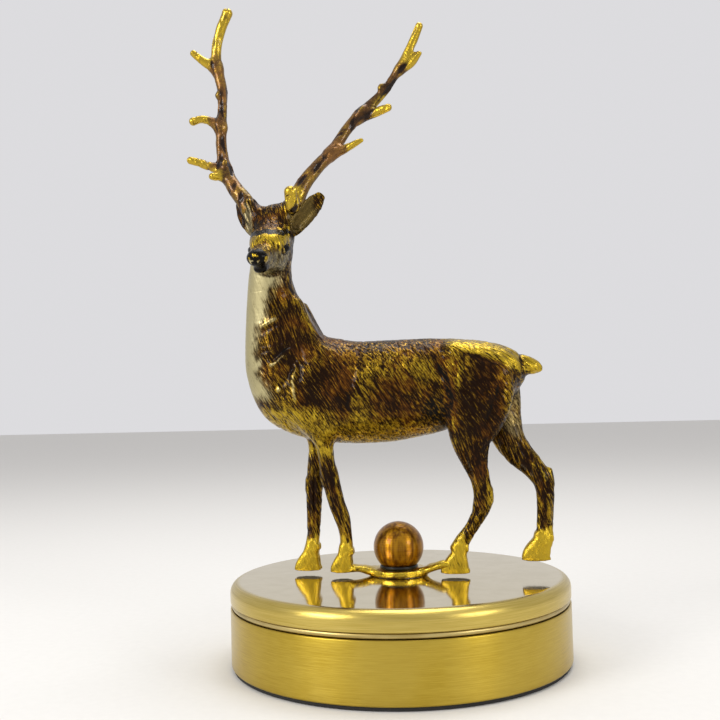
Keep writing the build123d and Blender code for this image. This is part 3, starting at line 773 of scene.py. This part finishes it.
def cast_antler(name, node, antler):
    """An antler: a beam with its tines run into it, knots, long grooves and rubbed gold ends."""
    beam = np.array(antler["beam"])
    branches = [beam] + [np.array(tine) for tine in antler["tines"]]
    reach = np.vstack(branches)
    room, cell = 4.5, 0.26
    clay = Clay(reach[:, :3].min(axis=0) - room, reach[:, :3].max(axis=0) + room, cell)
    for branch in branches:
        flattened = np.column_stack([branch, branch[:, 3] * 0.92])
        run = branch[-1] - branch[0]
        side = (1, 0, 0) if abs(run[1]) > abs(run[0]) + abs(run[2]) else (0, 1, 0)
        clay.add(flattened, blend=2.2, side=side)
    for x, y, z, radius in antler["knots"]:
        clay.add([(x, y, z, radius, radius), (x + 0.3, y, z + 0.4, radius, radius)], blend=1.6)
    points, faces, normals = clay.skin()
    grooves = ramp(cloud(turned(points, antler["lean"]), (6.5, 1.15, 1.15), 61), 0.0, 0.6)
    pearls = ramp(cloud(points, 1.3, 63), 0.2, 0.7)
    bulge = clay.bulge(points, 0.8)
    gold = np.zeros(len(points))
    for x, y, z, radius in antler["gold"]:
        gold = np.maximum(gold, patch(points, (x, y, z), (radius, radius, radius), 0.9))
    low = ramp(points[:, 2], 172, 160)
    gilt = 0.30 + 0.7 * gold + 0.25 * ramp(bulge, 0.2, 0.9) - 0.35 * grooves * (1 - 0.5 * gold)
    gilt += 0.12 * cloud(points, 4.0, 65) + 0.14 * low
    depth = (0.30 * grooves - 0.09 * pearls * (1 - gold)) * (1 - 0.4 * gold)
    marks = {
        "gilt": np.clip(gilt, 0, 1),
        "warm": np.clip(0.55 + 0.25 * cloud(points, 4.0, 67), 0, 1),
        "strokes": grooves,
    }
    points = points - normals * depth[:, None]
    return clay_piece(name, points, faces, [node], marks)


# ---------------------------------------------------------------- strap


def cast_strap():
    """The brass strap: a flat eye under the ball, and two arms that rise into the near hooves."""
    eye_radius, thickness, bore, gap = 9.2, 2.3, 2.4, 0.03
    clay = Clay((-24, -12, LID_TOP - 1), (24, 12, LID_TOP + 8), 0.22)
    clay.add_disc((0, 0, LID_TOP + thickness / 2), eye_radius, thickness / 2, edge=0.55, blend=0.3)
    front = [
        (-5, -1.4, 33.2, 1.2, 4.6), (-8.6, -2, 33.6, 1.45, 3.6), (-12.2, -2.8, 34.4, 1.4, 2.9),
        (-15.6, -3.1, 34.7, 1.5, 2.6), (-18.4, -3.1, 34.9, 1.4, 2.3),
    ]
    rear = [
        (5, -1.4, 33.2, 1.2, 4.6), (8.4, -2, 33.7, 1.45, 3.6), (11.4, -2.8, 34.8, 1.45, 3),
        (14.6, -3.1, 35.7, 1.6, 2.7), (18, -3.1, 35.2, 1.6, 2.5),
    ]
    clay.add(front, blend=1.4)
    clay.add(rear, blend=1.4)
    clay.cut([(0, 0, 28, bore, bore), (0, 0, 38, bore, bore)], blend=0.3, steps=1)
    points, faces, normals = clay.skin()
    lumps = cloud(points, (2.6, 2.0, 1.2), 71)
    flat = ramp(np.abs(normals[:, 2]), 0.9, 0.5)
    depth = 0.10 + 0.16 * lumps * ramp(np.hypot(points[:, 0], points[:, 1]), 5.5, 8.5)
    points = points - normals * depth[:, None]
    points[:, 2] = np.maximum(points[:, 2], LID_TOP + gap)
    marks = {"gilt": np.clip(0.85 + 0.2 * lumps - 0.25 * flat * ramp(lumps, 0.0, -0.6), 0, 1)}
    return clay_piece("brass_strap", points, faces, ["foot_strap"], marks)


# ---------------------------------------------------------------- spun and turned pieces


def arc(centre, radius, start, end, steps=8):
    """Places (radius from the axis, height) along an arc, from one angle in degrees to another."""
    angles = np.radians(np.linspace(start, end, steps + 1))
    return [(centre[0] + radius * math.cos(a), centre[1] + radius * math.sin(a)) for a in angles]


def spin(name, profile, body, node, sides=256):
    """A piece turned about Z. Its profile runs anticlockwise from axis to axis, or is a ring."""
    closed = profile[0][0] > 0
    angles = np.linspace(0, 2 * np.pi, sides, endpoint=False)
    points, rings = [], []
    for radius, height in profile:
        count = sides if radius > 0 else 1
        rings.append([len(points) + k % count for k in range(sides + 1)])
        points += [(radius * math.cos(a), radius * math.sin(a), height) for a in angles[:count]]
    faces = []
    for low, high in zip(rings, rings[1:] + rings[: int(closed)]):
        for k in range(sides):
            corners = (low[k], low[k + 1], high[k + 1], high[k])
            faces.append(tuple(dict.fromkeys(corners)))
    return make_mesh(name, points, faces, body, [node])


def extent(node):
    """A node's outer radius, its lowest and its highest point, in mm."""
    low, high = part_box(node)
    return high[0] / MM, low[2] / MM, high[2] / MM


def make_box():
    """The cup, the inner bowl with its rolled rim, and the lid."""
    sheet = 0.8
    radius, low, high = extent("base_cup")
    corner, lip = 0.6, sheet / 2
    cup = [(0, low), (radius * 0.5, low), (radius * 0.9, low)]
    cup += arc((radius - corner, low + corner), corner, -90, 0)
    cup += [(radius, low + (high - low) * k / 6) for k in range(1, 6)]
    cup += arc((radius - lip, high - lip), lip, 0, 180)
    cup += [(radius - sheet, low + 2), (radius - sheet - 0.6, low + sheet), (0, low + sheet)]
    wall = spin("cup_wall", cup, "base", "base_cup")

    radius, low, high = extent("inner_bowl")
    tube, bend, bowl_sheet = 1.0, 6.0, 0.6
    side = radius - 1.8
    bowl = [(0, low), (side * 0.6, low)]
    bowl += arc((side - bend, low + bend), bend, -90, 0, 12)
    bowl += arc((radius - tube, high - tube), tube, 217, 450, 20)
    bowl += arc((side - bowl_sheet + 0.8, high - 0.8), 0.8, 95, 180)
    inside = arc((side - bend, low + bend), bend - bowl_sheet, 0, -90, 12)
    bowl += inside + [(side * 0.6, low + bowl_sheet), (0, low + bowl_sheet)]
    bowl_piece = spin("rolled_bowl", bowl, "bowl", "inner_bowl")

    radius, low, high = extent("lid_shell")
    shoulder, bore = 3.1, 2.2
    top_edge = radius - shoulder
    lid = arc((radius - lip, low + lip), lip, -180, 0)
    lid += [(radius, (low + high - shoulder) / 2)]
    lid += arc((top_edge, high - shoulder), shoulder, 0, 90, 16)
    lid += [(top_edge - 0.4, high), (top_edge * 0.75, high), (top_edge * 0.4, high)]
    lid += [(10, high), (bore, high)]
    lid += [(bore, high - sheet), (top_edge * 0.4, high - sheet), (top_edge * 0.75, high - sheet)]
    lid += arc((top_edge, high - shoulder), shoulder - sheet, 90, 0, 12)
    lid_piece = spin("spun_lid", lid, "lid", "lid_shell")
    return wall, bowl_piece, lid_piece


def make_knob():
    """The ball with its flat and its tapped hole, and the black collar under it."""
    _, low, high = extent("collar")
    rim, bore, round_off = 6.2, 2.2, 0.4
    collar = [(bore, low + 0.1)]
    collar += arc((rim - round_off, low + round_off), round_off, -90, 0, 5)
    collar += arc((rim - round_off, high - round_off), round_off, 0, 90, 5)
    collar += [(bore, high)]
    collar_piece = spin("black_collar", collar, "lid", "collar", sides=128)

    radius, low, high = extent("ball_knob")
    centre = high - radius
    flat = math.degrees(math.asin((low - centre) / radius))
    hole, tapped = 2.0, 7.0
    ball = [(0, low + tapped), (hole, low + tapped), (hole, low)]
    ball += arc((0, centre), radius, flat, 89, 48) + [(0, high)]
    ball_piece = spin("ball", ball, "lid", "ball_knob", sides=128)
    return collar_piece, ball_piece


# ---------------------------------------------------------------- finishes


class Value:
    """A number that varies over a surface. Sums with it add nodes to its finish."""

    def __init__(self, finish, socket):
        self.finish, self.socket = finish, socket

    def maths(self, operation, first, second):
        return self.finish.node("Math", {"operation": operation}, {0: first, 1: second})

    def __add__(self, other):
        return self.maths("ADD", self, other)

    def __sub__(self, other):
        return self.maths("SUBTRACT", self, other)

    def __rsub__(self, other):
        return self.maths("SUBTRACT", other, self)

    def __mul__(self, other):
        return self.maths("MULTIPLY", self, other)

    __radd__ = __add__
    __rmul__ = __mul__


class Finish:
    """A material being made up, from a shader whose even settings are given by name."""

    def __init__(self, name, **settings):
        self.material = bpy.data.materials.new(name)
        self.material.use_nodes = True
        self.shader = self.material.node_tree.nodes["Principled BSDF"]
        for socket, value in settings.items():
            self.shader.inputs[socket.replace("_", " ")].default_value = value
        self.place = self.node("TexCoord", output="Object")

    def feed(self, socket, value):
        """Set a socket to a number or a colour, or link a value to it."""
        if isinstance(value, Value):
            self.material.node_tree.links.new(value.socket, socket)
        else:
            socket.default_value = value

    def node(self, kind, settings=None, inputs=None, output=0):
        """Add a node: its settings first, then its inputs. Gives one of its outputs."""
        node = self.material.node_tree.nodes.new("ShaderNode" + kind)
        for name, value in (settings or {}).items():
            setattr(node, name, value)
        for socket, value in (inputs or {}).items():
            self.feed(node.inputs[socket], value)
        return Value(self, node.outputs[output])

    def noise(self, size, detail=2.0, rough=0.5, angle=0.0):
        """Even noise around 0.5, in lumps of size mm, one for each axis, turned about Y."""
        scale = [length * MM for length in size]
        lumps = {"Vector": self.place, "Rotation": (0, angle, 0), "Scale": scale}
        spot = self.node("Mapping", {"vector_type": "TEXTURE"}, lumps)
        inputs = {"Vector": spot, "Scale": 1.0, "Detail": detail, "Roughness": rough}
        return self.node("TexNoise", None, inputs, "Fac")

    def mark(self, name):
        """A number stored on the piece's mesh."""
        return self.node("Attribute", {"attribute_name": name}, None, "Fac")

    def step(self, value, start, end):
        """0 before start, 1 after end, smooth between them."""
        inputs = {"Value": value, "From Min": start, "From Max": end}
        return self.node("MapRange", {"interpolation_type": "SMOOTHSTEP"}, inputs)

    def mix(self, share, first, second):
        """A colour between two colours."""
        inputs = {0: share, 6: first, 7: second}
        return self.node("Mix", {"data_type": "RGBA"}, inputs, 2)

    def bump(self, height, distance):
        """Relief from a height between 0 and 1 that stands for distance mm."""
        inputs = {"Height": height, "Distance": distance * MM, "Strength": 1.0}
        return self.node("Bump", None, inputs)

    def lay(self, **inputs):
        """Feed the shader, and give the finished material."""
        for socket, value in inputs.items():
            self.feed(self.shader.inputs[socket.replace("_", " ")], value)
        return self.material


DARK = (0.012, 0.0045, 0.0014, 1)
AMBER = (0.100, 0.034, 0.0035, 1)
OCHRE = (0.25, 0.135, 0.007, 1)
GOLD = (0.47, 0.315, 0.020, 1)
PALE = (0.51, 0.445, 0.235, 1)
OLIVE = (0.10, 0.068, 0.018, 1)
INK = (0.006, 0.005, 0.004, 1)


def turned_metal(name, streaked, coat, coat_roughness):
    """A metal brushed round and round about Z, under clear lacquer."""
    return Finish(
        name,
        Metallic=1.0,
        Anisotropic=streaked,
        Anisotropic_Rotation=0.25,
        Coat_Weight=coat,
        Coat_Roughness=coat_roughness,
    )


def stag_bronze():
    """Antique bronze: dark and amber grounds under gold strokes, a pale throat, black details, and
    painted shade in black under the hooves.
    """
    metal = Finish("stag bronze", Coat_Weight=0.12, Coat_Roughness=0.05, Metallic=1.0)
    neck, rump = metal.mark("neck_hair"), metal.mark("rump_hair")
    long_strokes = {
        part: metal.noise((length, 0.9, 0.42), 3.0, 0.6, LIE[part])
        for part, length in {"torso": 3.0, "neck": 4.0, "rump": 3.4}.items()
    }
    hair = long_strokes["torso"] * (1 - neck - rump) + long_strokes["neck"] * neck
    hair = hair + long_strokes["rump"] * rump
    fine = metal.noise((0.5, 0.5, 0.5), 2.0)
    broad = metal.noise((4.5, 4.5, 4.5), 2.0)
    cut = metal.mark("strokes")
    gilt = metal.mark("gilt")
    height = gilt * 0.72 + (hair - 0.5) * 2.7 - cut * 0.16 + (fine - 0.5) * 0.5
    gold_mask = metal.step(height, 0.12, 0.84)
    gold = metal.mix(metal.step(gilt + (fine - 0.5) * 0.6, 0.40, 0.95), OCHRE, GOLD)
    warmth = metal.mark("warm") + (broad - 0.5) * 0.7 + (hair - 0.5) * 2.0
    ground = metal.mix(metal.step(warmth, 0.35, 0.90), DARK, AMBER)
    pale = metal.mark("pale")
    cream = metal.mix(metal.step(hair * 1.6 + pale + (fine - 0.5) * 0.5, 0.9, 1.7), OLIVE, PALE)
    pale_mask = metal.step(pale + (hair - 0.5) * 1.2 * (1 - pale), 0.12, 0.92)
    # The black mark holds the black details and the painted shade under the hooves.
    blackness = metal.mark("black") + (fine - 0.5) * 0.5 - (hair - 0.5) * 1.2
    black_mask = metal.step(blackness, 0.30, 0.65)
    colour = metal.mix(gold_mask, ground, gold)
    colour = metal.mix(pale_mask, colour, cream)
    colour = metal.mix(metal.mark("olive"), colour, OLIVE)
    colour = metal.mix(black_mask, colour, INK)
    relief = (hair * 0.9 + fine * 0.25 - cut * 0.3) * (1 - pale_mask * 0.8)
    return metal.lay(
        Base_Color=colour,
        Roughness=0.42 - gold_mask * 0.14 + pale_mask * 0.04,
        Normal=metal.bump(relief, 0.26),
    )


def antler_bronze():
    """The antlers: brown with long grooves, pale ridges near the skull and gold ends."""
    metal = Finish("antler bronze", Coat_Weight=0.35, Coat_Roughness=0.06, Metallic=0.95)
    fine = metal.noise((0.6, 0.6, 0.6), 2.0)
    broad = metal.noise((2.6, 2.6, 2.6), 2.0)
    grooves = metal.mark("strokes")
    height = metal.mark("gilt") * 1.05 + (fine - 0.5) * 0.6 + (broad - 0.5) * 0.4
    gold_mask = metal.step(height - grooves * 0.15, 0.30, 0.95)
    warmth = metal.mark("warm") + (broad - 0.5) * 0.8 - grooves * 0.5
    ground = metal.mix(metal.step(warmth, 0.05, 0.90), DARK, (0.21, 0.095, 0.022, 1))
    return metal.lay(
        Base_Color=metal.mix(gold_mask, ground, GOLD),
        Roughness=0.40 - gold_mask * 0.12,
        Normal=metal.bump(fine * 0.5 - grooves * 0.8, 0.25),
    )


def strap_brass():
    """The strap and its arms: bright lacquered brass, darker where it was not rubbed."""
    metal = Finish("strap brass", Coat_Weight=0.3, Coat_Roughness=0.08, Metallic=1.0)
    fine = metal.noise((0.7, 0.7, 0.5), 3.0)
    broad = metal.noise((3.2, 3.2, 1.6), 2.0)
    height = metal.mark("gilt") + (fine - 0.5) * 0.7 + (broad - 0.5) * 0.6
    rubbed = metal.step(height, 0.38, 0.72)
    return metal.lay(
        Base_Color=metal.mix(rubbed, (0.10, 0.050, 0.005, 1), (0.56, 0.385, 0.024, 1)),
        Roughness=0.38 - rubbed * 0.12,
        Normal=metal.bump(fine * 0.6 + broad * 0.6, 0.25),
    )


def brushed_brass():
    """The cup's wall: brass brushed round and round, under clear lacquer."""
    metal = turned_metal("brushed brass", 0.75, 0.1, 0.12)
    lines = metal.noise((14.0, 14.0, 0.11), 3.0, 0.6)
    short_lines = metal.noise((5.0, 5.0, 0.22), 2.0, 0.6)
    broad = metal.noise((16.0, 16.0, 30.0), 2.0)
    shade = lines * 0.6 + short_lines * 0.4
    lined = metal.step(shade, 0.34, 0.66)
    colour = metal.mix(lined, (0.40, 0.27, 0.022, 1), (0.53, 0.375, 0.048, 1))
    colour = metal.mix(metal.step(broad, 0.3, 0.7) * 0.35, colour, (0.55, 0.41, 0.085, 1))
    relief = metal.bump(shade, 0.035)
    return metal.lay(Base_Color=colour, Roughness=0.27 + shade * 0.16, Normal=relief)


def polished_brass():
    """The lid: its top polished like a mirror, its side brushed round and round."""
    metal = turned_metal("polished brass", 0.55, 0.1, 0.04)
    x, y = (metal.node("SeparateXYZ", None, {0: metal.place}, axis) for axis in "XY")
    radius = metal.node("Math", {"operation": "SQRT"}, {0: x * x + y * y})
    outer, _, top = extent("lid_shell")
    polish = metal.step(radius, (outer - 1.6) * MM, (outer - 3.6) * MM)
    lines = metal.noise((14.0, 14.0, 0.12), 3.0, 0.6)
    scuffs = metal.noise((6.0, 6.0, 6.0), 3.0)
    lined, scuffed = metal.step(lines, 0.34, 0.66), metal.step(scuffs, 0.3, 0.7)
    side = metal.mix(lined, (0.47, 0.345, 0.070, 1), (0.60, 0.46, 0.125, 1))
    flat = metal.mix(scuffed, (0.64, 0.54, 0.315, 1), (0.70, 0.60, 0.37, 1))
    return metal.lay(
        Base_Color=metal.mix(polish, side, flat),
        Roughness=0.26 + lines * 0.08 - polish * (0.235 - scuffs * 0.04),
        Normal=metal.bump(lines * (1 - polish), 0.03),
    )


def bowl_brass():
    """The bowl, its rolled rim and the ring under the lid: satin brass, a little olive."""
    metal = Finish("bowl brass", Metallic=1.0, Coat_Weight=0.3, Coat_Roughness=0.15)
    lines = metal.noise((10.0, 10.0, 0.15), 3.0, 0.6)
    broad = metal.noise((9.0, 9.0, 9.0), 2.0)
    colour = metal.mix(metal.step(broad, 0.3, 0.7), (0.40, 0.30, 0.10, 1), (0.50, 0.39, 0.15, 1))
    relief = metal.bump(lines, 0.03)
    return metal.lay(Base_Color=colour, Roughness=0.30 + lines * 0.12, Normal=relief)


def copper_ball():
    """The ball: satin antique copper, with light streaks painted from pole to pole."""
    metal = turned_metal("copper ball", 0.7, 0.2, 0.10)
    # Painted highlight: dark and bright streaks from pole to pole stand in for the light bands of
    # the turned finish.
    painted_light_streaks = metal.noise((1.3, 1.3, 22.0), 3.0, 0.6)
    turning = metal.noise((10.0, 10.0, 0.16), 2.0)
    shade = painted_light_streaks * 0.75 + turning * 0.25
    streaked = metal.step(shade, 0.36, 0.64)
    colour = metal.mix(streaked, (0.15, 0.052, 0.003, 1), (0.44, 0.210, 0.009, 1))
    relief = metal.bump(turning, 0.02)
    return metal.lay(Base_Color=colour, Roughness=0.28 + shade * 0.12, Normal=relief)


def grained(finish, grain, colours, roughness, relief):
    """A finish from one grain: its two colours, its least and most roughness, its relief."""
    least, most = roughness
    return finish.lay(
        Base_Color=finish.mix(grain, *colours),
        Roughness=least + grain * (most - least),
        Normal=finish.bump(grain, relief),
    )


def black_collar():
    """The collar: glossy black."""
    black_finish = Finish("black collar", Coat_Weight=0.1, Coat_Roughness=0.05, Specular_IOR_Level=0.25)
    dust = black_finish.noise((0.8, 0.8, 0.8), 3.0)
    colours = (0.004, 0.004, 0.004, 1), (0.014, 0.013, 0.012, 1)
    return grained(black_finish, dust, colours, (0.25, 0.40), 0.02)


def black_foam():
    """The pad: matt black foam with open cells."""
    foam = Finish("black foam")
    cells = foam.noise((0.5, 0.5, 0.5), 3.0, 0.7)
    colours = (0.006, 0.006, 0.006, 1), (0.030, 0.028, 0.027, 1)
    return grained(foam, cells, colours, (0.85, 0.95), 0.12)


def zinc_steel():
    """The screw and its washers: bright zinc plating."""
    metal = Finish("zinc steel", Metallic=1.0)
    cloudy = metal.noise((1.5, 1.5, 1.5), 3.0)
    colours = (0.50, 0.51, 0.54, 1), (0.68, 0.69, 0.70, 1)
    return grained(metal, cloudy, colours, (0.24, 0.40), 0.02)


def give(piece, material):
    """Make a material a new piece's only one."""
    piece.data.materials.clear()
    piece.data.materials.append(material)


# ---------------------------------------------------------------- studio


def set_studio():
    """A pale floor, a bright even room, and two soft lights with one more above."""
    low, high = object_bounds()
    floor_size, gap = 6.0, 0.0002
    bpy.ops.mesh.primitive_plane_add(size=floor_size, location=(0, 0, low[2] - gap))
    floor = bpy.context.object
    floor.name = "floor"
    cloth = Finish("floor", Roughness=0.9)
    weave = cloth.noise((3.0, 3.0, 3.0), 2.0)
    colour = cloth.mix(weave, (0.68, 0.665, 0.63, 1), (0.72, 0.705, 0.67, 1))
    give(floor, cloth.lay(Base_Color=colour))

    world = bpy.data.worlds.new("room")
    world.use_nodes = True
    world.node_tree.nodes["Background"].inputs["Color"].default_value = (0.72, 0.715, 0.735, 1)
    bpy.context.scene.world = world

    middle = Vector((0, 0, (low[2] + high[2]) / 2))
    lights = {  # place, size in metres, watts
        "left_window": ((-0.55, -0.55, 0.42), 0.34, 3.4),
        "right_window": ((0.60, -0.40, 0.30), 0.22, 1.3),
        "top_panel": ((0.05, 0.12, 0.80), 0.45, 3.2),
    }
    for name, (place, size, watts) in lights.items():
        light = bpy.data.lights.new(name, "AREA")
        light.size, light.energy = size, watts
        lamp = bpy.data.objects.new(name, light)
        lamp.location = place
        lamp.rotation_euler = (middle - lamp.location).to_track_quat("-Z", "Y").to_euler()
        bpy.context.scene.collection.objects.link(lamp)
    bpy.context.scene.view_settings.view_transform = "Standard"


def set_camera():
    """Low in front of the box, a little to its right and rolled, looking slightly up."""
    yaw, pitch, roll = math.radians(8.5), math.radians(2.64), math.radians(-1.43)
    level = Vector((math.cos(yaw), math.sin(yaw), 0))
    onward = Vector((-math.sin(yaw), math.cos(yaw), 0))
    ahead = onward * math.cos(pitch) + Vector((0, 0, math.sin(pitch)))
    upright = level.cross(ahead)
    right = level * math.cos(roll) + upright * math.sin(roll)
    up = upright * math.cos(roll) - level * math.sin(roll)
    place = Vector((0.0355, -0.313, 0.0882 + BENCH * MM))
    lens = bpy.data.cameras.new("camera")
    lens.lens, lens.sensor_width = 47.5, 36
    camera = bpy.data.objects.new("camera", lens)
    turn = Matrix((right, up, -ahead)).transposed().to_4x4()
    camera.matrix_world = Matrix.Translation(place) @ turn
    bpy.context.scene.collection.objects.link(camera)
    bpy.context.scene.camera = camera


# ---------------------------------------------------------------- making

bronze = stag_bronze()
# The casting is made in four parts, each reaching 0.8 mm into the next
NECK_SEAM, LEG_SEAM = (125.5, 126.3), (72.5, 73.3)
CASTINGS = [
    # name, low and high corner of the clay, its cell, and the heights where it is cut
    ("stag_head", (-58, -35, 122), (-15, 8, 164), 0.25, NECK_SEAM[0], math.inf),
    ("stag_trunk", (-54, -18, 68), (52, 16, 131), 0.36, LEG_SEAM[0], NECK_SEAM[1]),
    ("stag_fore_legs", (-39, -10, 30), (-10, 9, 78), 0.26, -math.inf, LEG_SEAM[1]),
    ("stag_hind_legs", (10, -13, 30), (53, 11, 78), 0.26, -math.inf, LEG_SEAM[1]),
]
for casting in CASTINGS:
    give(cast_stag(*casting), bronze)

antler_finish = antler_bronze()
give(cast_antler("left_antler", "antler_left", LEFT_ANTLER), antler_finish)
give(cast_antler("right_antler", "antler_right", RIGHT_ANTLER), antler_finish)
give(cast_strap(), strap_brass())

bowl_finish = bowl_brass()
for piece, finish in zip(make_box(), (brushed_brass(), bowl_finish, polished_brass())):
    give(piece, finish)
for piece, finish in zip(make_knob(), (black_collar(), copper_ball())):
    give(piece, finish)

steel = zinc_steel()
hardware = {
    "lid_ring": bowl_finish,
    "flat_washer": steel,
    "spring_washer": steel,
    "clamp_screw": steel,
    "base_pad": black_foam(),
}
for node, finish in hardware.items():
    carried = bpy.data.objects[node]
    if not carried.material_slots:
        carried.data.materials.append(None)
    for place in carried.material_slots:
        place.material = finish

set_studio()
set_camera()
